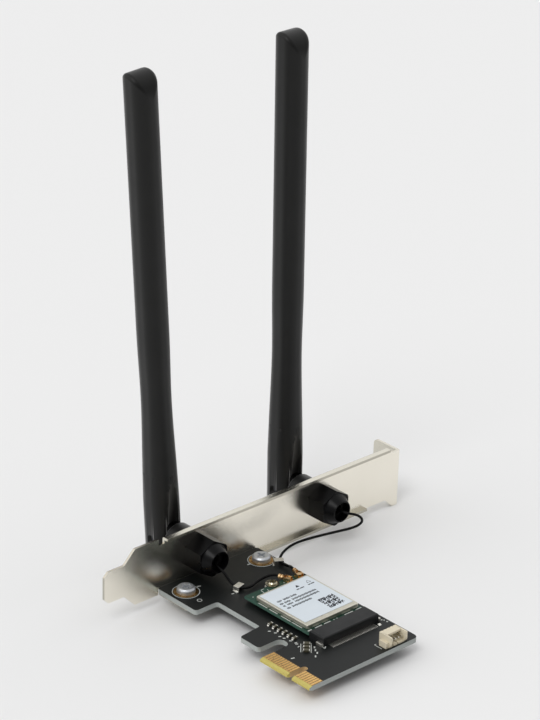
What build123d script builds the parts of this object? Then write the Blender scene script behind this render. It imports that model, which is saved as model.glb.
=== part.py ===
from build123d import *
from math import atan2, cos, degrees, radians, sin, tan
import os

os.makedirs("parts", exist_ok=True)

# Plug-in wireless network card with two folding antennas, in millimetres.
# Places on the card are given from the bracket: X from the tongue's end, Y from the inner face
# (minus into the computer case, plus out of it) and Z from the lower long edge.

# Bracket: one folded steel sheet
sheet = 0.86
bracket_length = 120.02
bracket_width = 18.42
tongue_width = 10.19
tongue_length = 7.36
tongue_chamfer = 1.5
taper_end = 11.43
flange_depth = 1.5
flange_start = 22.6
top_flange_end = 114.2
low_flange_end = 104.8
relief_width = 2.2
relief_depth = 1.9
tab_reach = 11.0
tab_top = 16.06
tab_drop = 3.05
top_step_end = 116.7
low_step_start = 114.2
low_step_end = 117.4
tab_corner = 1.5
screw_slot_width = 4.42
screw_slot_out = 5.9
screw_slot_top = 3.5
fold_radius = 0.7
ear_width = 9.0
ear_reach = 12.4

# Circuit board
board_thickness = 1.6
board_gap = 0.25
board_left = 20.0
board_right = 59.37
board_reach = 68.96
waist_left = 28.35
waist_near = -17.3
waist_far = -35.6
hook_near = -36.4
hook_far = -44.4
contact_tip = 16.65
key_place = -60.81
key_width = 1.9
key_depth = 5.75
near_block = 12.15
bevel_length = 1.15
bevel_depth = 0.45
corner_radius = 1.0
waist_corner_radius = 0.5
slot_end_radius = 1.9
far_corner_radius = 1.5
plating = 0.05
contact_width = 0.7
contact_pitch = 1.0
contact_offset = 1.5
contact_end = 21.66
near_contacts = 11
far_contacts = 7

# Screws that hold the board to the bracket
screw_places = (25.2, 55.0)
screw_inset = -6.9
screw_head_radius = 2.8
screw_head_height = 1.75
screw_head_chamfer = 0.5
screw_radius = 1.45
screw_tip = 0.4
screw_clearance = 0.05
screw_board_hole = 1.7
screw_pad_radius = 3.7
cross_width = 0.75
cross_length = 3.1
cross_depth = 0.9

# Radio module on its plug-in socket
module_left = 34.39
module_near = -22.3
module_width = 22.0
module_length = 30.0
module_thickness = 0.8
module_lift = 1.05
module_tongue_width = 19.85
module_tongue_length = 2.6
module_notch = 1.75
shield_width = 20.4
shield_length = 22.0
shield_height = 1.45
shield_inset = 3.95
shield_corner = 0.6
label_width = 18.9
label_length = 19.5
label_thickness = 0.1
label_inset = 0.8
socket_width = 21.9
socket_length = 6.0
socket_height = 2.84
socket_overlap = 2.5
socket_chamfer = 0.3
socket_clearance = 0.05
tail_count = 36
tail_pitch = 0.5
tail_width = 0.22
tail_length = 1.7
tail_height = 0.22
holddown_width = 0.8
holddown_length = 2.4
holddown_height = 1.1
standoff_radius = 2.2
standoff_bore = 0.95
module_screw_radius = 0.9
module_screw_flange = 2.1
module_screw_flange_height = 0.35
module_screw_dome = 1.45
module_screw_dome_height = 0.65
module_screw_depth = 1.7
module_cross_length = 1.7
module_cross_width = 0.45
module_cross_depth = 0.4

# Coaxial jacks, plugs, leads and clips
jack_places = ((15.9, 1.55), (20.1, 1.75))
jack_side = 2.0
jack_base = 0.3
jack_radius = 0.8
jack_height = 0.5
plug_radius = 1.35
plug_height = 1.0
plug_cavity = 0.9
plug_tail_length = 3.1
plug_tail_width = 1.2
plug_tail_angles = (107.0, 75.0)
plug_exit_run = 1.8
lead_radius = 0.405
lead_sides = 8
bend_share = 0.45
lead_lift = 0.85
clip_places = ((37.85, -15.9), (57.3, -12.1))
clip_angles = (14.0, -32.0)
clip_width = 3.0
clip_length = 2.0
clip_height = 1.65
clip_sheet = 0.25
clip_foot = 0.3

# Wire header at the corner
header_left = 47.3
header_near = -64.2
header_width = 8.9
header_length = 4.1
header_height = 3.8
header_wall = 0.8
header_floor = 0.9
header_roof = 1.7
header_depth = 3.0
header_foot = 0.35
header_foot_height = 1.7
header_pin_count = 4
header_pin_pitch = 1.25
header_pin = 0.4
header_pin_length = 2.6
header_tail = 0.9

# Chip capacitors beside the module
chip_length = 1.6
chip_width = 0.85
chip_height = 0.7
chip_terminal = 0.3
chip_row_start = (31.2, -37.0)
chip_row_pitch = 2.05
chip_row_count = 6
lane_chip_place = (30.45, -53.1)
lane_chip_length = 2.0
lane_chip_width = 1.1
lane_chip_pitch = 1.9
lane_chip_count = 3
lane_chip_angle = -45.0

# Antennas: sleeve and nut in the bracket, elbow, hinge and paddle
hole_places = {"left": 36.0, "right": 85.75}
hole_raise = 0.2
leans = {"left": -4.0, "right": -1.0}
hinge_reach = 16.4
hinge_drop = 1.2
sleeve_radius = 3.7
sleeve_reach = 7.0
sleeve_bore = 2.0
sleeve_bore_depth = 14.0
running_clearance = 0.08
seat_gap = 0.12
nut_flats = 10.5
nut_hex_length = 6.8
nut_length = 9.6
nut_neck_radius = 4.9
nut_rim_radius = 3.45
nut_mouth = 3.1
nut_chamfer = 0.3
elbow_radius = 5.2
elbow_chamfer = 0.7
knuckle_neck = 6.6
swing_gap = 0.4
fork_slot = 5.0
fork_side_gap = 0.2
fork_round_gap = 0.7
fork_roof = 5.6
scoop_depth = 2.1
scoop_height = 21.5
pin_radius = 0.8
pin_clearance = 0.03
pin_recess_radius = 1.5
pin_recess = 0.9
paddle_width = 8.5
paddle_depth = 9.8
paddle_corner = 3.9
paddle_height = 148.4
paddle_start = 64.0
waist_height = 46.0
waist_draw = 0.25
foot_height = 12.0
foot_swell = 0.65
element_bore = 2.2
element_bore_height = 126.0
element_clearance = 0.1
choke_start = 30.0
choke_end = 58.0
feed_radius = 0.7
feed_start = 7.0
whip_radius = 0.6
whip_end = 122.0

# The origin lies under the middle of the whole card, on the surface that it rests on.
foot_width = paddle_width + 2 * foot_swell
foot_radius = paddle_depth / 2 + foot_swell
antenna_back = hinge_reach + foot_radius
face_y = (board_reach - antenna_back) / 2
card = Plane((-bracket_length / 2, face_y, tab_drop))
inner_face = Plane(card.origin, x_dir=(1, 0, 0), z_dir=(0, -1, 0))
tab_corner_place = card.from_local_coords((bracket_length - sheet, 0, 0))
tab_plane = Plane(tab_corner_place, x_dir=(0, 1, 0), z_dir=(1, 0, 0))
bracket_middle = bracket_width / 2
relief_middle = flange_start - relief_width / 2
hole_height = bracket_middle + hole_raise
board_low = sheet
board_top = board_low + board_thickness
board_near = -(flange_depth + board_gap)
module_low = board_top + module_lift
module_top = module_low + module_thickness
module_far = module_near - module_length
module_middle = module_left + module_width / 2

# Bracket: tongue, tapered plate, two folded edges, two ears under the board and the screw tab
with BuildPart() as bracket:
    with BuildSketch(inner_face):
        with BuildLine():
            Polyline(
                (0, bracket_middle - tongue_width / 2 + tongue_chamfer),
                (0, bracket_middle + tongue_width / 2 - tongue_chamfer),
                (tongue_chamfer, bracket_middle + tongue_width / 2),
                (tongue_length, bracket_middle + tongue_width / 2),
                (taper_end, bracket_width),
                (top_flange_end, bracket_width),
                (top_step_end, tab_top),
                (bracket_length, tab_top),
                (bracket_length, -tab_drop),
                (low_step_end, -tab_drop),
                (low_step_start, 0),
                (taper_end, 0),
                (tongue_length, bracket_middle - tongue_width / 2),
                (tongue_chamfer, bracket_middle - tongue_width / 2),
                close=True,
            )
        make_face()
        with Locations((relief_middle, bracket_width), (relief_middle, 0)):
            Rectangle(relief_width, 2 * relief_depth, mode=Mode.SUBTRACT)
        with Locations(*[(place, hole_height) for place in hole_places.values()]):
            Circle(sleeve_radius + running_clearance, mode=Mode.SUBTRACT)
    extrude(amount=-sheet)
    with BuildSketch(inner_face):
        with Locations((flange_start, bracket_width)):
            Rectangle(top_flange_end - flange_start, sheet, align=(Align.MIN, Align.MAX))
        with Locations((flange_start, 0)):
            Rectangle(low_flange_end - flange_start, sheet, align=(Align.MIN, Align.MIN))
    extrude(amount=flange_depth)
    with BuildSketch(card):
        with Locations(*[(place, 0) for place in screw_places]):
            Rectangle(ear_width, ear_reach, align=(Align.CENTER, Align.MAX))
        with Locations(*[(place, screw_inset) for place in screw_places]):
            Circle(screw_radius + screw_clearance, mode=Mode.SUBTRACT)
    extrude(amount=sheet)
    with BuildSketch(tab_plane):
        with Locations((0, -tab_drop)):
            Rectangle(tab_reach, tab_top + tab_drop, align=(Align.MIN, Align.MIN))
        fillet(vertices().group_by(Axis.X)[-1], radius=tab_corner)
        with Locations((screw_slot_out, -tab_drop)):
            Rectangle(
                screw_slot_width,
                screw_slot_top,
                align=(Align.CENTER, Align.MIN),
                mode=Mode.SUBTRACT,
            )
        with Locations((screw_slot_out, screw_slot_top - tab_drop)):
            Circle(screw_slot_width / 2, mode=Mode.SUBTRACT)
    extrude(amount=sheet)
    long_edges = edges().filter_by(Axis.X)
    folds = long_edges.filter_by(lambda edge: edge.length > low_flange_end - flange_start)
    fillet(folds.group_by(Axis.Y)[-1], radius=fold_radius)
    fillet(edges().filter_by(Axis.Z).group_by(Axis.X)[-1].sort_by(Axis.Y)[0], radius=fold_radius)
bracket.part.label = "bracket"
export_step(bracket.part, "parts/bracket.step")

# Circuit board: waist, hook and the bevelled contact tongue with its key notch
board_outline = (
    ((board_left, board_near), corner_radius),
    ((board_left, waist_near), corner_radius),
    ((waist_left, waist_near), corner_radius),
    ((waist_left, waist_far), waist_corner_radius),
    ((board_left, hook_near), corner_radius),
    ((board_left, hook_far), corner_radius),
    ((waist_left, hook_far), slot_end_radius),
    ((waist_left, key_place + near_block), slot_end_radius),
    ((contact_tip, key_place + near_block), 0),
    ((contact_tip, -board_reach), 0),
    ((board_right, -board_reach), far_corner_radius),
    ((board_right, board_near), corner_radius),
)
with BuildPart() as circuit_board:
    with BuildSketch(card.offset(board_low)):
        with BuildLine():
            FilletPolyline(
                *[point for point, radius in board_outline],
                radius=[radius for point, radius in board_outline],
                close=True,
            )
        make_face()
        with Locations((contact_tip, key_place)):
            Rectangle(key_depth, key_width, align=(Align.MIN, Align.CENTER), mode=Mode.SUBTRACT)
        with Locations((contact_tip + key_depth, key_place)):
            Circle(key_width / 2, mode=Mode.SUBTRACT)
        with Locations(*[(place, screw_inset) for place in screw_places]):
            Circle(screw_board_hole, mode=Mode.SUBTRACT)
    extrude(amount=board_thickness)
    with BuildSketch(inner_face.offset(board_reach)):
        for surface, inward in ((board_low, bevel_depth), (board_top, -bevel_depth)):
            with BuildLine():
                Polyline(
                    (contact_tip, surface),
                    (contact_tip, surface + inward),
                    (contact_tip + bevel_length, surface),
                    close=True,
                )
            make_face()
    extrude(amount=-(board_reach + key_place + near_block), mode=Mode.SUBTRACT)
circuit_board.part.label = "circuit_board"
export_step(circuit_board.part, "parts/circuit_board.step")

# Gold contacts on both faces of the tongue
contact_start = contact_tip + bevel_length
contact_length = contact_end - contact_start
contact_places = [key_place + contact_offset + i * contact_pitch for i in range(near_contacts)]
contact_places += [key_place - contact_offset - i * contact_pitch for i in range(far_contacts)]
with BuildPart() as edge_contacts:
    for surface, outward in ((board_top, plating), (board_low, -plating)):
        with BuildSketch(card.offset(surface)):
            with Locations(*[(contact_start, place) for place in contact_places]):
                Rectangle(contact_length, contact_width, align=(Align.MIN, Align.CENTER))
        extrude(amount=outward)
edge_contacts.part.label = "edge_contacts"
export_step(edge_contacts.part, "parts/edge_contacts.step")

# Gold rings under the heads of the board screws
with BuildPart() as screw_pads:
    with BuildSketch(card.offset(board_top)):
        with Locations(*[(place, screw_inset) for place in screw_places]):
            Circle(screw_pad_radius)
            Circle(screw_board_hole, mode=Mode.SUBTRACT)
    extrude(amount=plating)
screw_pads.part.label = "screw_pads"
export_step(screw_pads.part, "parts/screw_pads.step")

# Pan-head screws with a cross recess
screw_seat = board_top + plating
screw_top = screw_seat + screw_head_height
with BuildPart() as board_screws:
    with BuildSketch(card.offset(screw_seat)):
        with Locations(*[(place, screw_inset) for place in screw_places]):
            Circle(screw_head_radius)
    extrude(amount=screw_head_height)
    chamfer(edges().group_by(Axis.Z)[-1], length=screw_head_chamfer)
    with BuildSketch(card.offset(screw_seat)):
        with Locations(*[(place, screw_inset) for place in screw_places]):
            Circle(screw_radius)
    extrude(amount=-(screw_seat + screw_tip))
    with BuildSketch(card.offset(screw_top)):
        with Locations(*[(place, screw_inset) for place in screw_places]):
            Rectangle(cross_length, cross_width)
            Rectangle(cross_width, cross_length)
    extrude(amount=-cross_depth, mode=Mode.SUBTRACT)
board_screws.part.label = "board_screws"
export_step(board_screws.part, "parts/board_screws.step")

# Radio module's own board, with a narrow end in the socket and a notch for its screw
with BuildPart() as module_board:
    with BuildSketch(card.offset(module_low)):
        with Locations((module_middle, module_near)):
            Rectangle(
                module_width,
                module_length - module_tongue_length,
                align=(Align.CENTER, Align.MAX),
            )
            Rectangle(module_tongue_width, module_length, align=(Align.CENTER, Align.MAX))
            Circle(module_notch, mode=Mode.SUBTRACT)
    extrude(amount=module_thickness)
module_board.part.label = "module_board"
export_step(module_board.part, "parts/module_board.step")

# Metal shield and the paper label on it
shield_middle = module_near - shield_inset - shield_length / 2
with BuildPart() as module_shield:
    with BuildSketch(card.offset(module_top)):
        with Locations((module_middle, shield_middle)):
            RectangleRounded(shield_width, shield_length, shield_corner)
    extrude(amount=shield_height)
module_shield.part.label = "module_shield"
export_step(module_shield.part, "parts/module_shield.step")

label_near = module_near - shield_inset - label_inset
with BuildPart() as module_label:
    with BuildSketch(card.offset(module_top + shield_height)):
        with Locations((module_middle, label_near)):
            Rectangle(label_width, label_length, align=(Align.CENTER, Align.MAX))
    extrude(amount=label_thickness)
module_label.part.label = "module_label"
export_step(module_label.part, "parts/module_label.step")

# Socket: a long housing with a slot for the module's narrow end
socket_near = module_far + socket_overlap
socket_far = socket_near - socket_length
with BuildPart() as module_socket:
    with BuildSketch(card.offset(board_top)):
        with Locations((module_middle, socket_near)):
            Rectangle(socket_width, socket_length, align=(Align.CENTER, Align.MAX))
    extrude(amount=socket_height)
    chamfer(edges().group_by(Axis.Z)[-1], length=socket_chamfer)
    with BuildSketch(card.offset(module_low - socket_clearance)):
        with Locations((module_middle, socket_near)):
            Rectangle(
                module_tongue_width + 2 * socket_clearance,
                socket_overlap + socket_clearance,
                align=(Align.CENTER, Align.MAX),
            )
    extrude(amount=module_thickness + 2 * socket_clearance, mode=Mode.SUBTRACT)
module_socket.part.label = "module_socket"
export_step(module_socket.part, "parts/module_socket.step")

with BuildPart() as socket_contacts:
    with BuildSketch(card.offset(board_top)):
        with Locations((module_middle, socket_far - tail_length / 2)):
            with GridLocations(tail_pitch, 0, tail_count, 1):
                Rectangle(tail_width, tail_length)
    extrude(amount=tail_height)
socket_contacts.part.label = "socket_contacts"
export_step(socket_contacts.part, "parts/socket_contacts.step")

with BuildPart() as socket_holddowns:
    with BuildSketch(card.offset(board_top)):
        with Locations((module_middle, socket_far)):
            with GridLocations(socket_width + holddown_width, 0, 2, 1):
                Rectangle(holddown_width, holddown_length, align=(Align.CENTER, Align.MIN))
    extrude(amount=holddown_height)
socket_holddowns.part.label = "socket_holddowns"
export_step(socket_holddowns.part, "parts/socket_holddowns.step")

# Standoff under the module's free end, and its small flanged screw
with BuildPart() as module_standoff:
    with BuildSketch(card.offset(board_top)):
        with Locations((module_middle, module_near)):
            Circle(standoff_radius)
            Circle(standoff_bore, mode=Mode.SUBTRACT)
    extrude(amount=module_lift)
module_standoff.part.label = "module_standoff"
export_step(module_standoff.part, "parts/module_standoff.step")

module_screw_top = module_top + module_screw_flange_height + module_screw_dome_height
with BuildPart() as module_screw:
    with BuildSketch(card.offset(module_top)):
        with Locations((module_middle, module_near)):
            Circle(module_screw_flange)
    extrude(amount=module_screw_flange_height)
    with BuildSketch(card.offset(module_top)):
        with Locations((module_middle, module_near)):
            Circle(module_screw_dome)
    extrude(amount=module_screw_top - module_top)
    chamfer(edges().group_by(Axis.Z)[-1], length=module_screw_dome_height / 2)
    with BuildSketch(card.offset(module_top)):
        with Locations((module_middle, module_near)):
            Circle(module_screw_radius)
    extrude(amount=-module_screw_depth)
    with BuildSketch(card.offset(module_screw_top)):
        with Locations((module_middle, module_near)):
            Rectangle(module_cross_length, module_cross_width)
            Rectangle(module_cross_width, module_cross_length)
    extrude(amount=-module_cross_depth, mode=Mode.SUBTRACT)
module_screw.part.label = "module_screw"
export_step(module_screw.part, "parts/module_screw.step")

# Coaxial jacks on the module
jack_points = [(module_left + across, module_near - inset) for across, inset in jack_places]
with BuildPart() as module_jacks:
    with BuildSketch(card.offset(module_top)):
        with Locations(*jack_points):
            Rectangle(jack_side, jack_side)
    extrude(amount=jack_base)
    with BuildSketch(card.offset(module_top + jack_base)):
        with Locations(*jack_points):
            Circle(jack_radius)
    extrude(amount=jack_height)
module_jacks.part.label = "module_jacks"
export_step(module_jacks.part, "parts/module_jacks.step")


# Radii of a lead's bends, each as large as its two runs leave room for
def bend_radii(points):
    radii = []
    for before, here, after in zip(points, points[1:], points[2:]):
        run_in = here - before
        run_out = after - here
        turn = radians(run_in.get_angle(run_out))
        radii.append(bend_share * min(run_in.length, run_out.length) / tan(turn / 2))
    return radii


# Coaxial plugs, leads and clips, one set for each antenna
plug_low = module_top + jack_base
plug_middle = plug_low + plug_height / 2
lead_height = board_top + lead_lift
lead_points = {
    "left": (
        (hole_places["left"], -3.4, hole_height),
        (hole_places["left"] + 0.2, -7.0, hole_height - 0.6),
        (36.7, -10.6, hole_height - 2.9),
        (37.1, -13.0, lead_height + 0.7),
        (37.6, -15.0, lead_height + 0.05),
        (38.2, -17.1, lead_height),
        (40.4, -18.3, lead_height + 0.1),
        (43.7, -17.2, lead_height + 0.2),
        (47.2, -17.1, lead_height + 0.6),
    ),
    "right": (
        (hole_places["right"], -4.0, hole_height),
        (hole_places["right"] + 0.1, -7.8, hole_height - 0.1),
        (86.9, -11.0, hole_height - 0.3),
        (88.9, -12.5, hole_height - 0.7),
        (89.4, -14.6, hole_height - 1.2),
        (87.9, -16.2, hole_height - 1.7),
        (84.6, -16.1, hole_height - 2.3),
        (78.6, -13.2, hole_height - 3.1),
        (72.2, -10.2, hole_height - 4.0),
        (66.8, -8.7, hole_height - 4.6),
        (62.4, -9.2, lead_height + 0.9),
        (59.2, -10.5, lead_height + 0.1),
        (57.2, -12.7, lead_height),
        (57.3, -15.3, lead_height + 0.1),
        (57.4, -17.0, lead_height + 0.5),
    ),
}
lead_sets = zip(hole_places, jack_points, plug_tail_angles, clip_places, clip_angles)
for side, jack, tail_angle, clip_place, clip_angle in lead_sets:
    tail = Vector(cos(radians(tail_angle)), sin(radians(tail_angle)), 0)
    tail_plane = Plane(card.from_local_coords((*jack, plug_low)), x_dir=tail, z_dir=(0, 0, 1))
    with BuildPart() as plug:
        with BuildSketch(tail_plane):
            Circle(plug_radius)
            Rectangle(plug_tail_length, plug_tail_width, align=(Align.MIN, Align.CENTER))
        extrude(amount=plug_height)
        with BuildSketch(tail_plane):
            Circle(plug_cavity)
        extrude(amount=jack_height + socket_clearance, mode=Mode.SUBTRACT)
    plug.part.label = f"coax_plug_{side}"
    export_step(plug.part, f"parts/coax_plug_{side}.step")

    plug_end = Vector(*jack, plug_middle) + tail * plug_tail_length
    plug_exit = plug_end + tail * plug_exit_run
    card_points = (*lead_points[side], plug_exit, plug_end)
    route_points = [card.from_local_coords(point) for point in card_points]
    radii = bend_radii(route_points)
    print(side, "lead bends", [round(radius, 1) for radius in radii])
    with BuildPart() as lead:
        with BuildLine() as route:
            FilletPolyline(*route_points, radius=radii)
        with BuildSketch(Plane(route.wire() @ 0, z_dir=route.wire() % 0)):
            RegularPolygon(lead_radius, lead_sides)
        sweep()
    lead.part.label = f"coax_lead_{side}"
    export_step(lead.part, f"parts/coax_lead_{side}.step")

    across = Vector(cos(radians(clip_angle)), sin(radians(clip_angle)), 0)
    along = Vector(across.Y, -across.X, 0)
    clip_plane = Plane(card.from_local_coords((*clip_place, board_top)), x_dir=across, z_dir=along)
    with BuildPart() as clip:
        with BuildSketch(clip_plane):
            Rectangle(clip_width, clip_height, align=(Align.CENTER, Align.MIN))
            Rectangle(clip_width + 2 * clip_foot, clip_sheet, align=(Align.CENTER, Align.MIN))
            Rectangle(
                clip_width - 2 * clip_sheet,
                clip_height - clip_sheet,
                align=(Align.CENTER, Align.MIN),
                mode=Mode.SUBTRACT,
            )
        extrude(amount=clip_length / 2, both=True)
    clip.part.label = f"lead_clip_{side}"
    export_step(clip.part, f"parts/lead_clip_{side}.step")

# Wire header: a side-entry housing, open at the front and over the front half
header_far = header_near - header_length
header_middle = header_left + header_width / 2
with BuildPart() as header_housing:
    with BuildSketch(card.offset(board_top)):
        with Locations((header_middle, header_near)):
            Rectangle(header_width, header_length, align=(Align.CENTER, Align.MAX))
    extrude(amount=header_height)
    with BuildSketch(card.offset(board_top + header_floor)):
        with Locations((header_middle, header_far)):
            Rectangle(header_width - 2 * header_wall, header_depth, align=(Align.CENTER, Align.MIN))
    extrude(amount=header_height - header_floor - header_wall, mode=Mode.SUBTRACT)
    with BuildSketch(card.offset(board_top + header_floor)):
        with Locations((header_middle, header_far)):
            Rectangle(
                header_width - 2 * header_wall,
                header_length - header_roof,
                align=(Align.CENTER, Align.MIN),
            )
    extrude(amount=header_height, mode=Mode.SUBTRACT)
    with BuildSketch(card.offset(board_top)):
        with Locations((header_middle, header_far)):
            Rectangle(header_width + 2 * header_foot, header_length / 2, align=(Align.CENTER, Align.MIN))
            Rectangle(
                header_width,
                header_length / 2,
                align=(Align.CENTER, Align.MIN),
                mode=Mode.SUBTRACT,
            )
    extrude(amount=header_foot_height)
header_housing.part.label = "header_housing"
export_step(header_housing.part, "parts/header_housing.step")

header_cavity_back = header_far + header_depth
header_pin_height = board_top + header_floor + (header_height - header_floor - header_wall) / 2
with BuildPart() as header_pins:
    with BuildSketch(inner_face.offset(-header_cavity_back)):
        with Locations((header_middle, header_pin_height)):
            with GridLocations(header_pin_pitch, 0, header_pin_count, 1):
                Rectangle(header_pin, header_pin)
    extrude(amount=header_pin_length)
    with BuildSketch(card.offset(board_top)):
        with Locations((header_middle, header_near)):
            with GridLocations(header_pin_pitch, 0, header_pin_count, 1):
                Rectangle(header_pin, header_tail, align=(Align.CENTER, Align.MIN))
    extrude(amount=header_pin)
header_pins.part.label = "header_pins"
export_step(header_pins.part, "parts/header_pins.step")

# Chip capacitors: ceramic bodies with a metal cap at each end
chip_spots = []
for i in range(chip_row_count):
    place = (chip_row_start[0], chip_row_start[1] - i * chip_row_pitch, board_top)
    chip_spots.append((Plane(card.from_local_coords(place)), chip_length, chip_width))
lane_direction = Vector(cos(radians(lane_chip_angle)), sin(radians(lane_chip_angle)), 0)
lane_step = Vector(-lane_direction.Y, lane_direction.X, 0) * lane_chip_pitch
for i in range(lane_chip_count):
    place = Vector(*lane_chip_place, board_top) + lane_step * (i - (lane_chip_count - 1) / 2)
    lane_plane = Plane(card.from_local_coords(place), x_dir=lane_direction, z_dir=(0, 0, 1))
    chip_spots.append((lane_plane, lane_chip_length, lane_chip_width))
with BuildPart() as chip_bodies:
    for spot, length, width in chip_spots:
        with BuildSketch(spot):
            Rectangle(length - 2 * chip_terminal, width)
        extrude(amount=chip_height)
chip_bodies.part.label = "chip_bodies"
export_step(chip_bodies.part, "parts/chip_bodies.step")

with BuildPart() as chip_terminals:
    for spot, length, width in chip_spots:
        with BuildSketch(spot):
            with GridLocations(length - chip_terminal, 0, 2, 1):
                Rectangle(chip_terminal, width)
        extrude(amount=chip_height)
chip_terminals.part.label = "chip_terminals"
export_step(chip_terminals.part, "parts/chip_terminals.step")

# Antennas: nut on the bracket, elbow that turns in it, and the paddle hinged on the elbow
fork_radius = foot_radius - fork_round_gap
elbow_start = foot_radius + swing_gap
elbow_seat = hinge_reach - sheet - seat_gap
pin_half = foot_width / 2 - pin_recess
nut_corner = nut_flats / 2 / cos(radians(30))
arch_radius = paddle_depth / 2
arch_middle = paddle_height - arch_radius
choke_radius = element_bore - element_clearance
cut_span = 4 * foot_radius
foot_taper = degrees(atan2(foot_swell + waist_draw, waist_height - foot_height))
waist_taper = degrees(atan2(waist_draw, paddle_start - waist_height))
scoop_radius = fork_slot / 2
scoop_middle = foot_radius - scoop_depth + scoop_radius
for side, hole_place in hole_places.items():
    nut_seat = card.from_local_coords((hole_place, 0, hole_height))
    nut_plane = Plane(nut_seat, x_dir=(1, 0, 0), z_dir=(0, -1, 0))
    nut_profile = Plane(nut_plane.origin, x_dir=(1, 0, 0), z_dir=(0, 0, -1))
    with BuildPart() as nut:
        with BuildSketch(nut_plane):
            RegularPolygon(nut_flats / 2, 6, major_radius=False, rotation=30)
        extrude(amount=nut_length)
        with BuildSketch(nut_profile):
            with BuildLine():
                Polyline(
                    (0, 0),
                    (nut_corner - nut_chamfer, 0),
                    (nut_corner + nut_chamfer, 2 * nut_chamfer),
                    (nut_corner + nut_chamfer, nut_hex_length - 2 * nut_chamfer),
                    (nut_corner - nut_chamfer, nut_hex_length),
                    (nut_neck_radius, nut_hex_length),
                    (nut_rim_radius, nut_length),
                    (0, nut_length),
                    close=True,
                )
            make_face()
        revolve(axis=Axis(nut_plane.origin, (0, -1, 0)), mode=Mode.INTERSECT)
        with BuildSketch(nut_plane):
            Circle(sleeve_radius + running_clearance)
        extrude(amount=sleeve_reach + seat_gap, mode=Mode.SUBTRACT)
        with BuildSketch(nut_plane):
            Circle(nut_mouth)
        extrude(amount=nut_length, mode=Mode.SUBTRACT)
    nut.part.label = f"gland_nut_{side}"
    export_step(nut.part, f"parts/gland_nut_{side}.step")

    lean = radians(leans[side])
    upright = Vector(sin(lean), 0, cos(lean))
    sleeve_axis = card.from_local_coords((hole_place, hinge_reach, hole_height))
    hinge = sleeve_axis - upright * hinge_drop
    stem = Plane(hinge, x_dir=(cos(lean), 0, -sin(lean)), z_dir=upright)
    profile = Plane(hinge, x_dir=stem.y_dir, z_dir=stem.x_dir)
    front = Plane(sleeve_axis, x_dir=stem.x_dir, z_dir=-stem.y_dir)
    scoop_place = stem.from_local_coords((0, -scoop_middle, 0))
    scoop = Plane(scoop_place, x_dir=stem.x_dir, z_dir=upright * scoop_height - stem.y_dir * scoop_depth)
    with BuildPart() as elbow:
        with BuildSketch(front.offset(elbow_start)):
            Circle(elbow_radius)
        extrude(amount=elbow_seat - elbow_start)
        chamfer(edges().group_by(Axis.Y)[-1], length=elbow_chamfer)
        with BuildSketch(profile):
            Circle(fork_radius)
            Rectangle(elbow_start + elbow_chamfer, knuckle_neck, align=(Align.MAX, Align.CENTER))
        extrude(amount=fork_slot / 2 - fork_side_gap, both=True)
        with BuildSketch(front.offset(elbow_seat)):
            Circle(sleeve_radius)
        extrude(amount=hinge_reach + sleeve_reach - elbow_seat)
        with BuildSketch(front.offset(hinge_reach + sleeve_reach)):
            Circle(sleeve_bore)
        extrude(amount=-sleeve_bore_depth, mode=Mode.SUBTRACT)
        with BuildSketch(profile):
            Circle(pin_radius + running_clearance)
        extrude(amount=fork_slot, both=True, mode=Mode.SUBTRACT)
    elbow.part.label = f"antenna_elbow_{side}"
    export_step(elbow.part, f"parts/antenna_elbow_{side}.step")

    with BuildPart() as shell:
        with BuildSketch(stem.offset(-foot_radius)):
            RectangleRounded(foot_width, 2 * foot_radius, paddle_corner + foot_swell)
        extrude(amount=foot_radius + foot_height)
        with BuildSketch(stem.offset(foot_height)):
            RectangleRounded(foot_width, 2 * foot_radius, paddle_corner + foot_swell)
        extrude(amount=waist_height - foot_height, taper=foot_taper)
        with BuildSketch(stem.offset(paddle_start)):
            RectangleRounded(paddle_width, paddle_depth, paddle_corner)
        extrude(amount=waist_height - paddle_start, taper=waist_taper)
        with BuildSketch(stem.offset(paddle_start)):
            RectangleRounded(paddle_width, paddle_depth, paddle_corner)
        extrude(amount=paddle_height - paddle_start)
        with BuildSketch(profile):
            Circle(foot_radius)
            Rectangle(cut_span, arch_middle, align=(Align.CENTER, Align.MIN))
            with Locations((0, arch_middle)):
                Circle(arch_radius)
        extrude(amount=2 * foot_radius, both=True, mode=Mode.INTERSECT)
        with BuildSketch(profile):
            with Locations((0, fork_roof)):
                Rectangle(cut_span, cut_span, align=(Align.CENTER, Align.MAX))
        extrude(amount=fork_slot / 2, both=True, mode=Mode.SUBTRACT)
        with BuildSketch(scoop):
            Circle(scoop_radius)
        extrude(amount=scoop_height, both=True, mode=Mode.SUBTRACT)
        with BuildSketch(stem):
            Circle(element_bore)
        extrude(amount=element_bore_height, mode=Mode.SUBTRACT)
        with BuildSketch(profile):
            Circle(pin_radius + pin_clearance)
        extrude(amount=2 * foot_radius, both=True, mode=Mode.SUBTRACT)
        for start, outward in ((pin_half, pin_recess), (-pin_half, -pin_recess)):
            with BuildSketch(profile.offset(start)):
                Circle(pin_recess_radius)
            extrude(amount=outward, mode=Mode.SUBTRACT)
    shell.part.label = f"antenna_shell_{side}"
    export_step(shell.part, f"parts/antenna_shell_{side}.step")

    with BuildPart() as pin:
        with BuildSketch(profile):
            Circle(pin_radius)
        extrude(amount=pin_half, both=True)
    pin.part.label = f"hinge_pin_{side}"
    export_step(pin.part, f"parts/hinge_pin_{side}.step")

    with BuildPart() as element:
        with BuildSketch(profile):
            with BuildLine():
                Polyline(
                    (0, feed_start),
                    (feed_radius, feed_start),
                    (feed_radius, choke_start),
                    (choke_radius, choke_start),
                    (choke_radius, choke_end),
                    (whip_radius, choke_end),
                    (whip_radius, whip_end),
                    (0, whip_end),
                    close=True,
                )
            make_face()
        revolve(axis=Axis(hinge, stem.z_dir))
    element.part.label = f"antenna_element_{side}"
    export_step(element.part, f"parts/antenna_element_{side}.step")
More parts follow.
